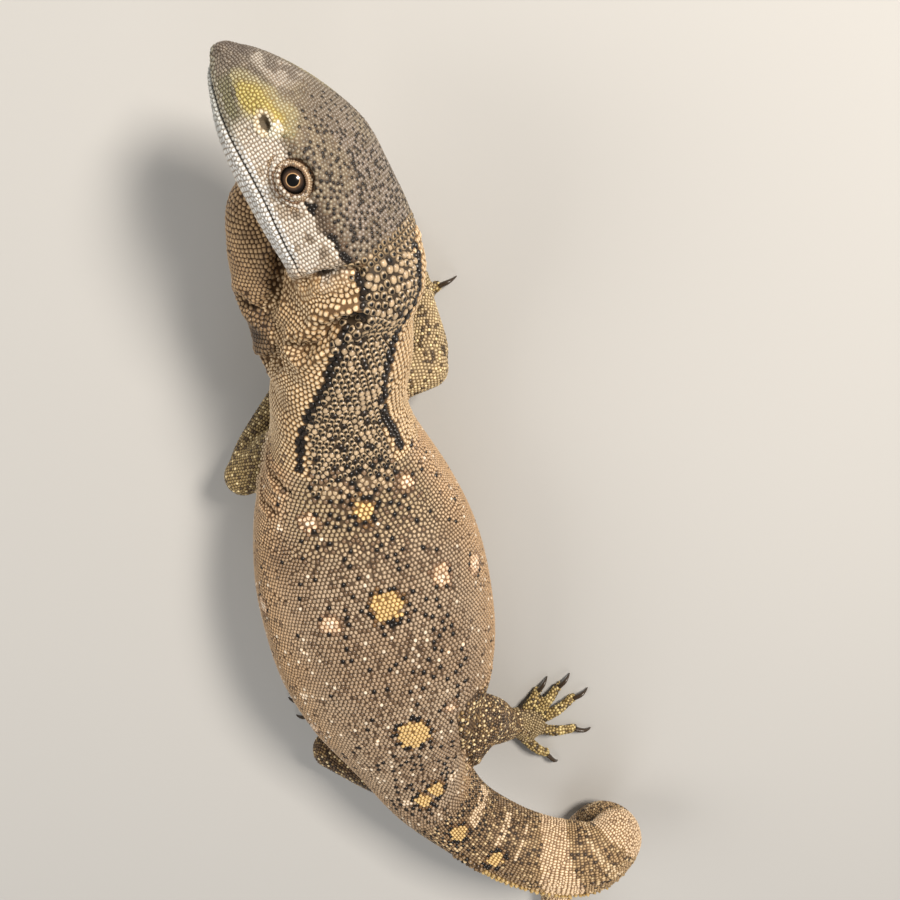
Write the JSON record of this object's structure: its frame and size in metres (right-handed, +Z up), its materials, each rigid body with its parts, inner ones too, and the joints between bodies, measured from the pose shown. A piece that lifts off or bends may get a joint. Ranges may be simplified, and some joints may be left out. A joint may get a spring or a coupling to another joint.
{
  "type": "white-throated monitor lizard",
  "caption": "Still life-size monitor lizard lying on its belly, head raised and tilted to its left, one hind foot spread beside the body and the tail curled back under itself.",
  "frame": {"origin": "middle of the bounding box at the floor that the animal lies on", "axes": "+Y from tail to head, +X to the animal's right, +Z up"},
  "size_m": [0.1415, 0.4334, 0.0764],
  "materials": {
    "hide": "beaded tan and brown scales with dark gaps, black-tipped scales and yellow spots along the back",
    "head_hide": "small flat grey-brown head scales with black dots, a yellow patch at the nostril and a dark stripe behind the eye",
    "jaw_hide": "pale cream lip and chin scales",
    "limb_hide": "small dark scales with cream and yellow spots",
    "eye": "wet dark brown eye with a round black pupil and a thin orange ring",
    "claw": "smooth dark horn"
  },
  "bodies": {
    "root": {"head": "head_hide", "lower_jaw": "jaw_hide", "eye_left": "eye", "eye_right": "eye", "neck": "hide", "chest": "hide", "belly": "hide", "pelvis": "hide", "tail_1": "hide", "tail_2": "hide", "tail_3": "hide", "tail_4": "hide", "tail_5": "hide", "fore_right_upper_arm": "hide", "fore_right_forearm": "limb_hide", "fore_right_hand": "limb_hide", "fore_right_claw_1": "claw", "fore_right_claw_2": "claw", "fore_right_claw_3": "claw", "fore_right_claw_4": "claw", "fore_right_claw_5": "claw", "fore_left_upper_arm": "hide", "fore_left_forearm": "limb_hide", "fore_left_hand": "limb_hide", "fore_left_claw_1": "claw", "fore_left_claw_2": "claw", "fore_left_claw_3": "claw", "fore_left_claw_4": "claw", "fore_left_claw_5": "claw", "hind_right_thigh": "hide", "hind_right_shank": "limb_hide", "hind_right_foot": "limb_hide", "hind_right_claw_1": "claw", "hind_right_claw_2": "claw", "hind_right_claw_3": "claw", "hind_right_claw_4": "claw", "hind_right_claw_5": "claw", "hind_left_thigh": "hide", "hind_left_shank": "limb_hide", "hind_left_foot": "limb_hide", "hind_left_claw_1": "claw", "hind_left_claw_2": "claw", "hind_left_claw_3": "claw", "hind_left_claw_4": "claw", "hind_left_claw_5": "claw"}
  },
  "joints": []
}
